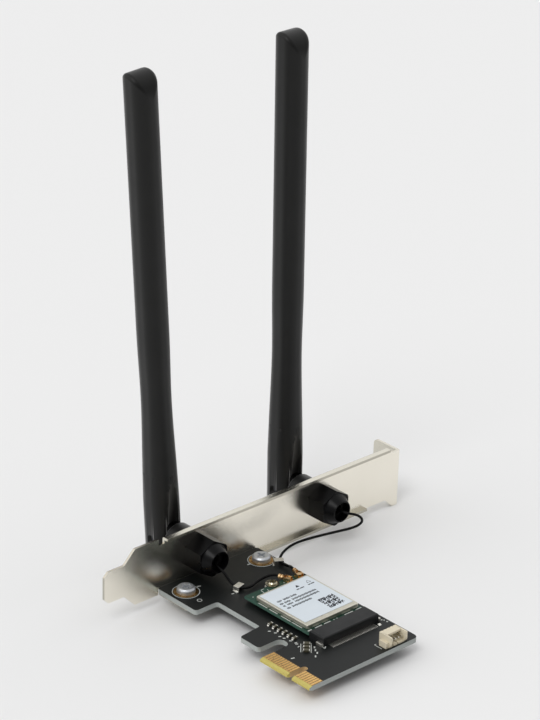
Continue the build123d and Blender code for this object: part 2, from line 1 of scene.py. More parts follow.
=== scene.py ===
import math

import bmesh
import bpy
from mathutils import Matrix, Vector


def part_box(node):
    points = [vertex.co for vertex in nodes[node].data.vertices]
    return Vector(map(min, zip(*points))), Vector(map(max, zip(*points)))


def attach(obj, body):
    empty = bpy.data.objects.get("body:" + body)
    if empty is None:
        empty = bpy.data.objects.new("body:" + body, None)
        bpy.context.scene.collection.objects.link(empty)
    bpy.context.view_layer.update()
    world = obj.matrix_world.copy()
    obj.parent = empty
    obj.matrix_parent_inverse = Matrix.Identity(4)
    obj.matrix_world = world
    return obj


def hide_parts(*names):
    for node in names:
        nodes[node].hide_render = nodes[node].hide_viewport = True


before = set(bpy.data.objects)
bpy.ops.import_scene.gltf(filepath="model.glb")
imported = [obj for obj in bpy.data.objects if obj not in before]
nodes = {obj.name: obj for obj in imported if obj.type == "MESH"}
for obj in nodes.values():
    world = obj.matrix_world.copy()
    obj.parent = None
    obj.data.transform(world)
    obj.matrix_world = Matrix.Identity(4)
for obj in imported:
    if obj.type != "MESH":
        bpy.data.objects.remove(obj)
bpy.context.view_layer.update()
print("stage: frame loaded,", len(nodes), "nodes")

mm = 0.001
noiseLow, noiseHigh = 0.3, 0.7  # noise seldom leaves this range
sameMm = 0.001  # corners nearer than this are one
cutMm = 0.0001  # a cut keeps corners this near to it
tabReach = 11.0  # bracket's tab beyond its inner face
tabDrop = 3.05  # bracket's tab below its lower edge
bracketLow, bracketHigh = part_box("bracket")
cardZero = Vector((bracketLow.x, bracketHigh.y - tabReach * mm, bracketLow.z + tabDrop * mm))
boardTop = (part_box("circuit_board")[1].z - cardZero.z) / mm
moduleTop = (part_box("module_board")[1].z - cardZero.z) / mm
labelTop = (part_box("module_label")[1].z - cardZero.z) / mm


def at(x, y, z):  # a place on the card in millimetres, as a point of the frame
    return cardZero + Vector((x, y, z)) * mm


def linear(hexColour):  # sRGB hex to linear RGBA
    parts = [int(hexColour[i:i + 2], 16) / 255 for i in (0, 2, 4)]
    return [p / 12.92 if p <= 0.04045 else ((p + 0.055) / 1.055) ** 2.4 for p in parts] + [1.0]


def addNode(tree, kind, inputs=None, **settings):  # one node with its settings, values and links
    node = tree.nodes.new(kind)
    for key, value in settings.items():
        setattr(node, key, value)
    for key, value in (inputs or {}).items():
        if isinstance(value, bpy.types.NodeSocket):
            tree.links.new(value, node.inputs[key])
        else:
            node.inputs[key].default_value = value
    return node


def startMaterial(name):
    material = bpy.data.materials.new(name)
    material.use_nodes = True
    tree = material.node_tree
    return material, tree, tree.nodes["Principled BSDF"], addNode(tree, "ShaderNodeTexCoord")


def perMetre(millimetres):  # pattern frequency for a feature of that size
    return 1 / (millimetres * mm)


# Materials: metals

def nickelPlatedSteel(name="nickelPlatedSteel"):
    # rolled sheet, bright nickel plated: a warm soft mirror; faces that don't face across the card carry
    # painted shade, a little darker on the flanges and folds, greyer on the tongue's edges and the flanges'
    # free ends
    look = {"light": "fdf8ec", "dark": "f4efe2", "folded": "dedacd", "edgeShade": "beb9ad", "lineMm": 0.35,
            "streakMm": 30, "grainMm": 0.16, "grainDeep": 0.03, "smooth": 0.14, "rough": 0.2,
            "cloudMm": 9, "tongueTo": 22.6, "lipFrom": -1.3}
    material, tree, shader, where = startMaterial(name)
    stretch = addNode(tree, "ShaderNodeMapping", {"Vector": where.outputs["Object"],
                      "Scale": (perMetre(look["streakMm"]), perMetre(look["lineMm"]),
                                perMetre(look["lineMm"]))})
    lines = addNode(tree, "ShaderNodeTexNoise", {"Vector": stretch.outputs["Vector"], "Scale": 1.0,
                                                 "Detail": 4.0})
    clouds = addNode(tree, "ShaderNodeTexNoise", {"Vector": where.outputs["Object"],
                                                  "Scale": perMetre(look["cloudMm"]), "Detail": 3.0})
    colour = addNode(tree, "ShaderNodeMix", {"Factor": clouds.outputs["Fac"], "A": linear(look["light"]),
                     "B": linear(look["dark"])}, data_type="RGBA")
    # painted shade: faces that don't face across the card (flange tops, folds, sheet edges) take a darker
    # colour, greyer still on the tongue
    split = addNode(tree, "ShaderNodeSeparateXYZ", {"Vector": where.outputs["Normal"]})
    across = addNode(tree, "ShaderNodeMath", {0: split.outputs["Y"]}, operation="ABSOLUTE")
    rolled = addNode(tree, "ShaderNodeMath", {0: across.outputs["Value"], 1: 0.5}, operation="GREATER_THAN")
    place = addNode(tree, "ShaderNodeSeparateXYZ", {"Vector": where.outputs["Object"]})
    onTongue = addNode(tree, "ShaderNodeMath", {0: place.outputs["X"], 1: at(look["tongueTo"], 0, 0).x},
                       operation="LESS_THAN")
    edge = addNode(tree, "ShaderNodeMix", {"Factor": onTongue.outputs["Value"], "A": linear(look["folded"]),
                   "B": linear(look["edgeShade"])}, data_type="RGBA")
    colour = addNode(tree, "ShaderNodeMix", {"Factor": rolled.outputs["Value"], "A": edge.outputs["Result"],
                     "B": colour.outputs["Result"]}, data_type="RGBA")
    # painted shade: the flanges' free ends, facing the card, take the grey edge colour
    inward = addNode(tree, "ShaderNodeMath", {0: split.outputs["Y"], 1: -0.5}, operation="LESS_THAN")
    beyond = addNode(tree, "ShaderNodeMath", {0: place.outputs["Y"], 1: at(0, look["lipFrom"], 0).y},
                     operation="LESS_THAN")
    lip = addNode(tree, "ShaderNodeMath", {0: inward.outputs["Value"], 1: beyond.outputs["Value"]},
                  operation="MULTIPLY")
    colour = addNode(tree, "ShaderNodeMix", {"Factor": lip.outputs["Value"], "A": colour.outputs["Result"],
                     "B": linear(look["edgeShade"])}, data_type="RGBA")
    tree.links.new(colour.outputs["Result"], shader.inputs["Base Color"])
    rough = addNode(tree, "ShaderNodeMapRange", {"Value": lines.outputs["Fac"], "From Min": noiseLow,
                                                 "From Max": noiseHigh, "To Min": look["smooth"],
                                                 "To Max": look["rough"]})
    tree.links.new(rough.outputs["Result"], shader.inputs["Roughness"])
    grain = addNode(tree, "ShaderNodeTexNoise", {"Vector": where.outputs["Object"],
                                                 "Scale": perMetre(look["grainMm"]), "Detail": 1.0})
    bump = addNode(tree, "ShaderNodeBump", {"Height": grain.outputs["Fac"], "Strength": 1.0,
                                            "Distance": look["grainDeep"] * mm})
    tree.links.new(bump.outputs["Normal"], shader.inputs["Normal"])
    shader.inputs["Metallic"].default_value = 1.0
    return material


def platedMetal(name, light, dark, rough, grainMm, bumpMm):
    # plated small parts: one even metal colour, a little cloudy, with fine plating grain
    look = {"smoother": 0.8, "rougher": 1.25, "bump": 0.2}
    material, tree, shader, where = startMaterial(name)
    grain = addNode(tree, "ShaderNodeTexNoise", {"Vector": where.outputs["Object"],
                                                 "Scale": perMetre(grainMm), "Detail": 3.0})
    colour = addNode(tree, "ShaderNodeMix", {"Factor": grain.outputs["Fac"], "A": linear(light),
                                             "B": linear(dark)}, data_type="RGBA")
    tree.links.new(colour.outputs["Result"], shader.inputs["Base Color"])
    spread = addNode(tree, "ShaderNodeMapRange", {"Value": grain.outputs["Fac"], "From Min": noiseLow,
                                                  "From Max": noiseHigh, "To Min": rough * look["smoother"],
                                                  "To Max": rough * look["rougher"]})
    tree.links.new(spread.outputs["Result"], shader.inputs["Roughness"])
    bump = addNode(tree, "ShaderNodeBump", {"Height": grain.outputs["Fac"], "Strength": look["bump"],
                                            "Distance": bumpMm * mm})
    tree.links.new(bump.outputs["Normal"], shader.inputs["Normal"])
    shader.inputs["Metallic"].default_value = 1.0
    return material


# Materials: laminates, plastics and paper

contactTongue = {"fromY": -48, "toY": -68.93}  # card millimetres


def maskedLaminate(name, mask, maskDark, edge, rough, tongue=()):
    # glass-epoxy board under smooth solder mask: faint copper relief on the faces, pale fibrous cut edges
    look = {"mottleMm": 6, "layerMm": 3, "sheetMm": 0.25, "cutDark": 0.72, "cutRough": 0.75, "relief": 0.15,
            "reliefMm": 0.03, "gloss": 0.26}
    material, tree, shader, where = startMaterial(name)
    mottle = addNode(tree, "ShaderNodeTexNoise", {"Vector": where.outputs["Object"],
                                                  "Scale": perMetre(look["mottleMm"]), "Detail": 2.0})
    face = addNode(tree, "ShaderNodeMix", {"Factor": mottle.outputs["Fac"], "A": linear(mask),
                                           "B": linear(maskDark)}, data_type="RGBA")
    layers = addNode(tree, "ShaderNodeMapping", {"Vector": where.outputs["Object"],
                     "Scale": (perMetre(look["layerMm"]), perMetre(look["layerMm"]),
                                perMetre(look["sheetMm"]))})
    fibre = addNode(tree, "ShaderNodeTexNoise", {"Vector": layers.outputs["Vector"], "Scale": 1.0,
                                                 "Detail": 3.0})
    cut = addNode(tree, "ShaderNodeMix", {"Factor": fibre.outputs["Fac"], "A": linear(edge),
                  "B": [v * look["cutDark"] for v in linear(edge)[:3]] + [1.0]}, data_type="RGBA")
    split = addNode(tree, "ShaderNodeSeparateXYZ", {"Vector": where.outputs["Normal"]})
    upright = addNode(tree, "ShaderNodeMath", {0: split.outputs["Z"]}, operation="ABSOLUTE")
    flat = addNode(tree, "ShaderNodeMath", {0: upright.outputs["Value"], 1: 0.5}, operation="GREATER_THAN")
    colour = addNode(tree, "ShaderNodeMix", {"Factor": flat.outputs["Value"], "A": cut.outputs["Result"],
                     "B": face.outputs["Result"]}, data_type="RGBA")
    # no mask on the contact tongue: bare laminate, paler on its bevel
    for belowX, bare, bareDark, cutOnly in tongue:
        place = addNode(tree, "ShaderNodeSeparateXYZ", {"Vector": where.outputs["Object"]})
        nearTip = addNode(tree, "ShaderNodeMath", {0: place.outputs["X"], 1: belowX}, operation="LESS_THAN")
        nearEnd = addNode(tree, "ShaderNodeMath",
                          {0: place.outputs["Y"], 1: at(0, contactTongue["fromY"], 0).y},
                          operation="LESS_THAN")
        notEnd = addNode(tree, "ShaderNodeMath",
                         {0: place.outputs["Y"], 1: at(0, contactTongue["toY"], 0).y},
                         operation="GREATER_THAN")
        tip = addNode(tree, "ShaderNodeMath", {0: nearTip.outputs["Value"], 1: nearEnd.outputs["Value"]},
                      operation="MULTIPLY")
        tip = addNode(tree, "ShaderNodeMath", {0: tip.outputs["Value"], 1: notEnd.outputs["Value"]},
                      operation="MULTIPLY")
        if cutOnly:
            tip = addNode(tree, "ShaderNodeMath", {0: tip.outputs["Value"], 1: flat.outputs["Value"]},
                          operation="SUBTRACT", use_clamp=True)
        resin = addNode(tree, "ShaderNodeMix", {"Factor": fibre.outputs["Fac"], "A": linear(bare),
                                                "B": linear(bareDark)}, data_type="RGBA")
        colour = addNode(tree, "ShaderNodeMix", {"Factor": tip.outputs["Value"],
                                                 "A": colour.outputs["Result"],
                                                 "B": resin.outputs["Result"]}, data_type="RGBA")
    tree.links.new(colour.outputs["Result"], shader.inputs["Base Color"])
    dull = addNode(tree, "ShaderNodeMapRange", {"Value": flat.outputs["Value"],
                                                "To Min": look["cutRough"], "To Max": rough})
    tree.links.new(dull.outputs["Result"], shader.inputs["Roughness"])
    relief = addNode(tree, "ShaderNodeBump", {"Height": mottle.outputs["Fac"], "Strength": look["relief"],
                                              "Distance": look["reliefMm"] * mm})
    tree.links.new(relief.outputs["Normal"], shader.inputs["Normal"])
    shader.inputs["Specular IOR Level"].default_value = look["gloss"]
    return material


def mouldedPlastic(name, light, dark, rough, gritMm, bumpMm, gloss=0.4, haze=0.0):
    # injection moulded plastic: even colour, faint flow clouds, fine spark-eroded grit that softens the gloss
    look = {"cloudMm": 7, "smoother": 0.9, "rougher": 1.1, "bump": 0.25, "hazeRough": 0.35}
    material, tree, shader, where = startMaterial(name)
    clouds = addNode(tree, "ShaderNodeTexNoise", {"Vector": where.outputs["Object"],
                                                  "Scale": perMetre(look["cloudMm"]), "Detail": 3.0})
    colour = addNode(tree, "ShaderNodeMix", {"Factor": clouds.outputs["Fac"], "A": linear(light),
                                             "B": linear(dark)}, data_type="RGBA")
    tree.links.new(colour.outputs["Result"], shader.inputs["Base Color"])
    grit = addNode(tree, "ShaderNodeTexNoise", {"Vector": where.outputs["Object"],
                                                "Scale": perMetre(gritMm), "Detail": 2.0})
    spread = addNode(tree, "ShaderNodeMapRange", {"Value": clouds.outputs["Fac"], "From Min": noiseLow,
                                                  "From Max": noiseHigh, "To Min": rough * look["smoother"],
                                                  "To Max": rough * look["rougher"]})
    tree.links.new(spread.outputs["Result"], shader.inputs["Roughness"])
    bump = addNode(tree, "ShaderNodeBump", {"Height": grit.outputs["Fac"], "Strength": look["bump"],
                                            "Distance": bumpMm * mm})
    tree.links.new(bump.outputs["Normal"], shader.inputs["Normal"])
    shader.inputs["Specular IOR Level"].default_value = gloss
    shader.inputs["Sheen Weight"].default_value = haze  # the grit scatters light at a glancing angle
    shader.inputs["Sheen Roughness"].default_value = look["hazeRough"]
    return material


finishes = {
    "nickel": nickelPlatedSteel(),
    "gold": platedMetal("goldPlatedCopper", "f0c886", "dcae66", 0.3, 0.6, 0.004),
    "pad": platedMetal("goldPlatedPad", "c4a06c", "977748", 0.36, 0.6, 0.004),
    "zinc": platedMetal("zincPlatedSteel", "d6d9dc", "bfc2c6", 0.5, 0.5, 0.006),
    "tin": platedMetal("tinnedBronze", "e4e2db", "cfcdc5", 0.34, 0.4, 0.006),
    "bronze": platedMetal("nickelPlatedScrew", "c9c2ac", "9f9882", 0.15, 0.4, 0.003),
    "shield": platedMetal("tinPlatedShield", "d8d5c8", "c6c3b4", 0.4, 1.2, 0.006),
    "plug": platedMetal("goldPlatedBrass", "f2d3a6", "d4ad7a", 0.26, 0.4, 0.005),
    "hinge": platedMetal("blackenedSteel", "55565a", "3c3d40", 0.4, 0.4, 0.004),
    "brass": platedMetal("drawnBrass", "d2b070", "b8944f", 0.3, 0.5, 0.004),
    "board": maskedLaminate("blackSolderMask", "131615", "0d0f0f", "b2b7b4", 0.45,
                            tongue=((at(21.9, 0, 0).x, "9c7d4e", "84683f", False),
                                    (at(23.6, 0, 0).x, "d3b78b", "b4976a", True),
                                    (at(17.75, 0, 0).x, "ccc070", "b3a355", False))),
    "moduleBoard": maskedLaminate("greenSolderMask", "1d4436", "143226", "46685b", 0.42),
    "label": mouldedPlastic("coatedPaper", "d9e1e7", "d0d8df", 0.5, 0.25, 0.004, gloss=0.25),
    "socket": mouldedPlastic("glassFilledPolymer", "191a1b", "121314", 0.5, 0.3, 0.008, gloss=0.35),
    "header": mouldedPlastic("naturalNylon", "dfd6c0", "d3c8ae", 0.45, 0.3, 0.006, gloss=0.35),
    "chip": mouldedPlastic("firedCeramic", "565240", "3d3a2c", 0.5, 0.2, 0.01),
    "jacket": mouldedPlastic("fluoropolymerJacket", "080809", "050506", 0.4, 0.2, 0.003, gloss=0.12),
    "nut": mouldedPlastic("blackNylon", "080809", "050506", 0.3, 0.3, 0.005, gloss=0.15),
    "antenna": mouldedPlastic("satinAbs", "0d0d0c", "090908", 0.42, 0.25, 0.006, gloss=0.27, haze=0.4),
    "ink": mouldedPlastic("epoxyLegendInk", "c9ccc8", "b4b7b3", 0.6, 0.15, 0.004, gloss=0.2),
    "print": mouldedPlastic("labelPrintInk", "2b2e35", "202329", 0.6, 0.15, 0.002, gloss=0.2),
    # painted shade: dark discs stand in for the open via holes
    "via": platedMetal("paintedViaShade", "7d5a34", "5c3f24", 0.45, 0.2, 0.004),
}
print("stage: materials,", len(finishes))

# CAD nodes keep their shapes and take these finishes
nodeFinish = {
    "bracket": "nickel", "circuit_board": "board", "edge_contacts": "gold", "screw_pads": "pad",
    "board_screws": "zinc", "module_board": "moduleBoard", "module_shield": "shield",
    "module_label": "label", "module_socket": "socket", "socket_contacts": "tin",
    "socket_holddowns": "tin", "module_standoff": "tin", "module_screw": "bronze", "module_jacks": "gold",
    "coax_plug_left": "plug", "coax_plug_right": "plug", "lead_clip_left": "tin",
    "lead_clip_right": "tin", "header_housing": "header", "header_pins": "tin", "chip_bodies": "chip",
    "chip_terminals": "tin", "gland_nut_left": "nut", "gland_nut_right": "nut",
    "antenna_elbow_left": "antenna", "antenna_elbow_right": "antenna", "antenna_shell_left": "antenna",
    "antenna_shell_right": "antenna", "hinge_pin_left": "hinge", "hinge_pin_right": "hinge",
    "antenna_element_left": "brass", "antenna_element_right": "brass", "coax_lead_left": "jacket",
    "coax_lead_right": "jacket",
}
for nodeName, finishName in nodeFinish.items():
    slots = nodes[nodeName].data.materials
    slots.clear()
    slots.append(finishes[finishName])

# Moulding and deburring take the sharpness off these edges (millimetres)
softEdges = {"bracket": 0.12, "module_shield": 0.25, "module_socket": 0.12, "gland_nut_left": 0.25,
             "gland_nut_right": 0.25, "board_screws": 0.18, "lead_clip_left": 0.1, "lead_clip_right": 0.1,
             "chip_bodies": 0.06, "chip_terminals": 0.06, "antenna_elbow_left": 0.3,
             "antenna_elbow_right": 0.3, "socket_holddowns": 0.1}
easing = {"weldMm": 0.002, "flatDeg": 0.5, "segments": 3, "sharpDeg": 35, "weight": 90}
for nodeName, width in softEdges.items():
    weld = nodes[nodeName].modifiers.new("weld", "WELD")
    weld.merge_threshold = easing["weldMm"] * mm
    merge = nodes[nodeName].modifiers.new("merge", "DECIMATE")
    merge.decimate_type = "DISSOLVE"
    merge.angle_limit = math.radians(easing["flatDeg"])
    ease = nodes[nodeName].modifiers.new("ease", "BEVEL")
    ease.width = width * mm
    ease.segments = easing["segments"]
    ease.limit_method = "ANGLE"
    ease.angle_limit = math.radians(easing["sharpDeg"])
    shade = nodes[nodeName].modifiers.new("shade", "WEIGHTED_NORMAL")
    shade.weight = easing["weight"]
print("stage: CAD nodes finished")


def addPiece(name, shape, finishName, body, smoothDeg=None):
    mesh = bpy.data.meshes.new(name)
    shape.to_mesh(mesh)
    shape.free()
    mesh.materials.append(finishes[finishName])
    if smoothDeg:
        mesh.polygons.foreach_set("use_smooth", [True] * len(mesh.polygons))
        mesh.set_sharp_from_angle(angle=math.radians(smoothDeg))
    piece = bpy.data.objects.new(name, mesh)
    bpy.context.scene.collection.objects.link(piece)
    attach(piece, body)
    return piece


def addPrism(shape, outline, low, high):  # closed prism over an outline in card millimetres
    bottom = [shape.verts.new(at(x, y, low)) for x, y in outline]
    top = [shape.verts.new(at(x, y, high)) for x, y in outline]
    shape.faces.new(bottom[::-1])
    shape.faces.new(top)
    for i in range(len(outline)):
        j = (i + 1) % len(outline)
        shape.faces.new((bottom[i], bottom[j], top[j], top[i]))


def barOutline(x, y, length, width, angleDeg=0):
    turn = math.radians(angleDeg)
    along = Vector((math.cos(turn), math.sin(turn))) * length / 2
    across = Vector((-math.sin(turn), math.cos(turn))) * width / 2
    middle = Vector((x, y))
    return [tuple(middle + along * a + across * b) for a, b in ((-1, -1), (1, -1), (1, 1), (-1, 1))]


def discOutline(x, y, radius, steps=20):
    return [(x + radius * math.cos(math.tau * i / steps),
             y + radius * math.sin(math.tau * i / steps)) for i in range(steps)]


def addRing(shape, x, y, inner, outer, low, high, steps=64):  # closed ring in card millimetres
    loops = []
    for radius, height in ((inner, low), (outer, low), (outer, high), (inner, high)):
        loops.append([shape.verts.new(at(px, py, height)) for px, py in discOutline(x, y, radius, steps)])
    for a, b in zip(loops, loops[1:] + loops[:1]):
        for i in range(steps):
            j = (i + 1) % steps
            shape.faces.new((a[i], a[j], b[j], b[i]))
    bmesh.ops.recalc_face_normals(shape, faces=shape.faces)


# Board: as in the CAD, with its edge at the bracket brought up to the folded sheet
boardEdge = {"from": -3.2, "move": 1.72}
shape = bmesh.new()
shape.from_mesh(nodes["circuit_board"].data)
shape.transform(nodes["circuit_board"].matrix_world)
bmesh.ops.remove_doubles(shape, verts=shape.verts, dist=sameMm * mm)
for corner in shape.verts:
    if corner.co.y > at(0, boardEdge["from"], 0).y:
        corner.co.y += boardEdge["move"] * mm
piece = addPiece("maskedBoard", shape, "board", "card")
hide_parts("circuit_board")
print("stage: board")

# Antenna paddles: the fork as in the CAD, and above it one smooth flare and a top with rounded edges
paddle = {"halfWidth": 4.25, "halfDepth": 4.9, "corner": 3.9, "height": 148.4, "seam": 22.0,
          "boreRadius": 2.2, "boreTop": 126.0, "boreSteps": 32, "rowStep": 2, "rowCount": 29,
          "upperRows": (95, 115, 134), "topRound": 1.3, "topShare": 0.98, "crownAt": 0.8,
          "frontDrop": 7.5, "backDrop": 3.8, "left": (36.0, -4.0), "right": (85.75, -1.0),
          "hingeReach": 16.4, "hingeDrop": 1.2, "cornerSteps": 12, "topSteps": 6, "leastFacing": 0.02}
# height, swell and slope at each row of the flare
flare = ((22, 0.385, -0.0265), (46, -0.25, -0.005), (66, 0.0, 0.004), (78, 0.0, 0.0))


def swellAt(height):
    for (lowZ, lowS, lowSlope), (highZ, highS, highSlope) in zip(flare, flare[1:]):
        if height <= highZ:
            span = highZ - lowZ
            t = (height - lowZ) / span
            return ((2 * t ** 3 - 3 * t ** 2 + 1) * lowS + (t ** 3 - 2 * t ** 2 + t) * span * lowSlope
                    + (3 * t ** 2 - 2 * t ** 3) * highS + (t ** 3 - t ** 2) * span * highSlope)
    return 0.0


def halfSection(swell):  # half widths along the depth, with the share of the side that faces across
    width, depth, corner = (paddle[key] + swell for key in ("halfWidth", "halfDepth", "corner"))
    steps = paddle["cornerSteps"]
    rows = []
    for i in range(steps + 1):
        turn = math.radians(90 - 90 * i / steps)
        rows.append((width - corner + corner * math.cos(turn), -(depth - corner) - corner * math.sin(turn),
                     math.cos(turn)))
    rows += [(width, (depth - corner) * share, 1.0) for share in (-0.5, 0, 0.5)]
    return rows + [(x, -y, facing) for x, y, facing in rows[steps::-1]]


def addPoint(shape, axes, x, y, z):  # a corner in millimetres across, outward and along the antenna
    hinge, across, upright = axes
    return shape.verts.new(hinge + (across * x + Vector((0, 1, 0)) * y + upright * z) * mm)


for side in ("left", "right"):
    holeX, leanDeg = paddle[side]
    lean = math.radians(leanDeg)
    upright = Vector((math.sin(lean), 0, math.cos(lean)))
    across = Vector((math.cos(lean), 0, -math.sin(lean)))
    holeZ = (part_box("gland_nut_" + side)[0].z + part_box("gland_nut_" + side)[1].z) / 2
    hinge = Vector((at(holeX, 0, 0).x, at(0, paddle["hingeReach"], 0).y,
                    holeZ)) - upright * paddle["hingeDrop"] * mm
    node = nodes["antenna_shell_" + side]
    shape = bmesh.new()
    shape.from_mesh(node.data)
    shape.transform(node.matrix_world)
    bmesh.ops.remove_doubles(shape, verts=shape.verts, dist=sameMm * mm)
    cut = bmesh.ops.bisect_plane(shape, geom=shape.verts[:] + shape.edges[:] + shape.faces[:],
                                 dist=cutMm * mm,
                                 plane_co=hinge + upright * paddle["seam"] * mm, plane_no=upright,
                                 clear_outer=True)
    rim = [part for part in cut["geom_cut"] if isinstance(part, bmesh.types.BMEdge)]
    bmesh.ops.triangle_fill(shape, edges=rim, use_beauty=True)
    axes = (hinge, across, upright)
    heights = [paddle["seam"] + paddle["rowStep"] * i for i in range(paddle["rowCount"])]
    heights += paddle["upperRows"]
    grids = []
    for height in heights:
        rows = halfSection(swellAt(height))
        leftSide = [addPoint(shape, axes, -x, y, height) for x, y, facing in rows]
        rightSide = [addPoint(shape, axes, x, y, height) for x, y, facing in rows[::-1]]
        grids.append(leftSide + rightSide)
    count = len(grids[0])
    for low, high in zip(grids, grids[1:]):
        for i in range(count):
            j = (i + 1) % count
            shape.faces.new((low[j], low[i], high[i], high[j]))
    rows = halfSection(0.0)
    loaf = []
    for i, (x, y, facing) in enumerate(rows):
        reach, drop = y - paddle["crownAt"], paddle["backDrop"]
        span = paddle["halfDepth"] - paddle["crownAt"]
        if reach < 0:
            span, drop = paddle["halfDepth"] + paddle["crownAt"], paddle["frontDrop"]
        crown = paddle["height"] - drop * (1 - math.sqrt(max(1 - (reach / span) ** 2, 0)))
        ease = paddle["topRound"] * max(facing, paddle["leastFacing"])
        turns = [math.radians(90 * n / paddle["topSteps"]) for n in range(paddle["topSteps"] + 1)]
        arc = [(1 - math.cos(turn), 1 - math.sin(turn)) for turn in turns]
        topInset = min(ease, x * paddle["topShare"])
        profile = [addPoint(shape, axes, -x + topInset * a, y, crown - ease * b) for a, b in arc]
        profile += [addPoint(shape, axes, x - topInset * a, y, crown - ease * b) for a, b in arc[::-1]]
        loaf.append([grids[-1][i]] + profile + [grids[-1][count - 1 - i]])
    for front, behind in zip(loaf, loaf[1:]):
        for i in range(len(front) - 1):
            shape.faces.new((front[i], front[i + 1], behind[i + 1], behind[i]))
    shape.faces.new(loaf[0][::-1])
    shape.faces.new(loaf[-1])
    steps = paddle["boreSteps"]
    bore = discOutline(0, 0, paddle["boreRadius"], steps)
    boreLow = [addPoint(shape, axes, x, y, paddle["seam"]) for x, y in bore]
    boreHigh = [addPoint(shape, axes, x, y, paddle["boreTop"]) for x, y in bore]
    for i in range(steps):
        j = (i + 1) % steps
        shape.faces.new((boreLow[i], boreLow[j], boreHigh[j], boreHigh[i]))
    shape.faces.new(boreHigh)
    shape.edges.ensure_lookup_table()
    openEdges = [edge for edge in shape.edges if edge.is_boundary]
    bmesh.ops.triangle_fill(shape, edges=openEdges, use_beauty=True)
    bmesh.ops.recalc_face_normals(shape, faces=shape.faces)
    piece = addPiece("antennaPaddle_" + side, shape, "antenna", side + "_antenna", 38)
    shade = piece.modifiers.new("shade", "WEIGHTED_NORMAL")
    shade.keep_sharp = True
    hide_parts("antenna_shell_" + side)
print("stage: paddles")

# Leads: round jackets on one smooth line, through the same places as their solids
leadSizes = {"radiusMm": 0.405, "holeHeight": 9.41, "leadHeight": 3.31, "plugHeight": 5.11}
hole, lay, plugged = leadSizes["holeHeight"], leadSizes["leadHeight"], leadSizes["plugHeight"]
leadRoutes = {
    "left": ((36.0, -3.4, hole), (36.1, -6.2, hole - 1.0), (36.4, -8.6, hole - 2.2),
             (36.7, -10.6, hole - 3.0), (37.1, -13.0, lay + 0.7), (37.6, -15.0, lay + 0.05),
             (38.2, -17.1, lay), (40.4, -18.3, lay + 0.1), (43.7, -17.2, lay + 0.2),
             (47.2, -17.1, lay + 0.6), (48.86, -19.16, plugged), (49.38, -20.89, plugged)),
    "right": ((85.75, -4.0, hole), (85.85, -7.8, hole - 0.1), (86.9, -11.0, hole - 0.3),
              (88.9, -12.5, hole - 0.7), (89.4, -14.6, hole - 1.2), (87.9, -16.2, hole - 1.7),
              (84.6, -16.1, hole - 2.3), (78.6, -13.2, hole - 3.1), (72.2, -10.2, hole - 4.0),
              (66.8, -8.7, hole - 4.6), (62.4, -9.2, lay + 0.9), (59.2, -10.5, lay + 0.1),
              (57.2, -12.7, lay), (57.3, -15.3, lay + 0.1), (57.4, -17.0, lay + 0.5),
              (55.76, -19.32, plugged), (55.29, -21.06, plugged)),
}
for side, route in leadRoutes.items():
    line = bpy.data.curves.new("coaxJacket_" + side, "CURVE")
    line.dimensions = "3D"
    spline = line.splines.new("NURBS")
    spline.points.add(len(route) - 1)
    for point, place in zip(spline.points, route):
        point.co = (*at(*place), 1)
    spline.order_u = 3
    spline.use_endpoint_u = True
    spline.resolution_u = 12
    line.bevel_depth = leadSizes["radiusMm"] * mm
    line.bevel_resolution = 5
    line.use_fill_caps = True
    line.materials.append(finishes["jacket"])
    lead = bpy.data.objects.new("coaxJacket_" + side, line)
    bpy.context.scene.collection.objects.link(lead)
    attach(lead, "card")
    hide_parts("coax_lead_" + side)
print("stage: leads")


def addBars(shape, bars, low, high):  # bars from one place to another, with a width, in card millimetres
    for fromX, fromY, toX, toY, width in bars:
        length = math.hypot(toX - fromX, toY - fromY)
        angle = math.degrees(math.atan2(toY - fromY, toX - fromX))
        addPrism(shape, barOutline((fromX + toX) / 2, (fromY + toY) / 2, length, width, angle), low, high)


# White legend on the board: rings round the screws, part outlines and short ticks, with no words
legend = {"thickMm": 0.02, "screws": ((25.2, -6.9), (55.0, -6.9)), "ringInner": 3.95, "ringOuter": 4.15,
          "testRing": (24.9, -13.3), "testInner": 0.62, "testOuter": 0.8}
legendBars = (
    (29.7, -6.7, 30.7, -7.2, 0.4), (49.85, -6.4, 50.85, -6.6, 0.4), (55.3, -11.85, 56.0, -11.6, 0.35),
    (36.25, -15.7, 36.1, -17.1, 0.3), (34.5, -16.6, 35.35, -16.75, 0.35),
    (23.1, -54.5, 24.2, -54.8, 0.45), (30.8, -50.3, 27.6, -53.7, 0.2), (28.8, -51.2, 29.6, -51.0, 0.3),
    (33.3, -52.0, 29.7, -55.85, 0.2), (29.6, -48.9, 30.5, -49.1, 0.3), (34.3, -55.0, 34.2, -56.5, 0.25),
    (34.15, -56.6, 35.2, -55.9, 0.35), (46.45, -64.2, 47.1, -64.2, 0.22),
    (46.45, -64.2, 46.45, -67.2, 0.22), (57.7, -55.3, 58.1, -55.6, 0.5), (58.2, -55.9, 58.5, -56.2, 0.5),
    (58.3, -57.0, 58.6, -57.4, 0.5), (28.3, -39.2, 28.9, -39.7, 0.45), (29.0, -41.0, 29.6, -41.5, 0.45),
    (28.6, -43.3, 29.2, -43.8, 0.45), (28.9, -44.8, 29.5, -45.3, 0.45), (29.3, -47.0, 29.9, -47.5, 0.45),
    (29.5, -49.4, 30.1, -49.9, 0.45), (32.7, -53.9, 32.1, -54.6, 0.4), (31.9, -55.2, 31.2, -55.9, 0.4),
    (31.3, -56.6, 30.6, -57.3, 0.4), (29.6, -57.7, 28.9, -58.4, 0.4),
)
shape = bmesh.new()
legendTop = boardTop + legend["thickMm"]
for x, y in legend["screws"]:
    addRing(shape, x, y, legend["ringInner"], legend["ringOuter"], boardTop, legendTop)
addRing(shape, *legend["testRing"], legend["testInner"], legend["testOuter"], boardTop, legendTop, 32)
addBars(shape, legendBars, boardTop, legendTop)
addPiece("boardLegend", shape, "ink", "card")

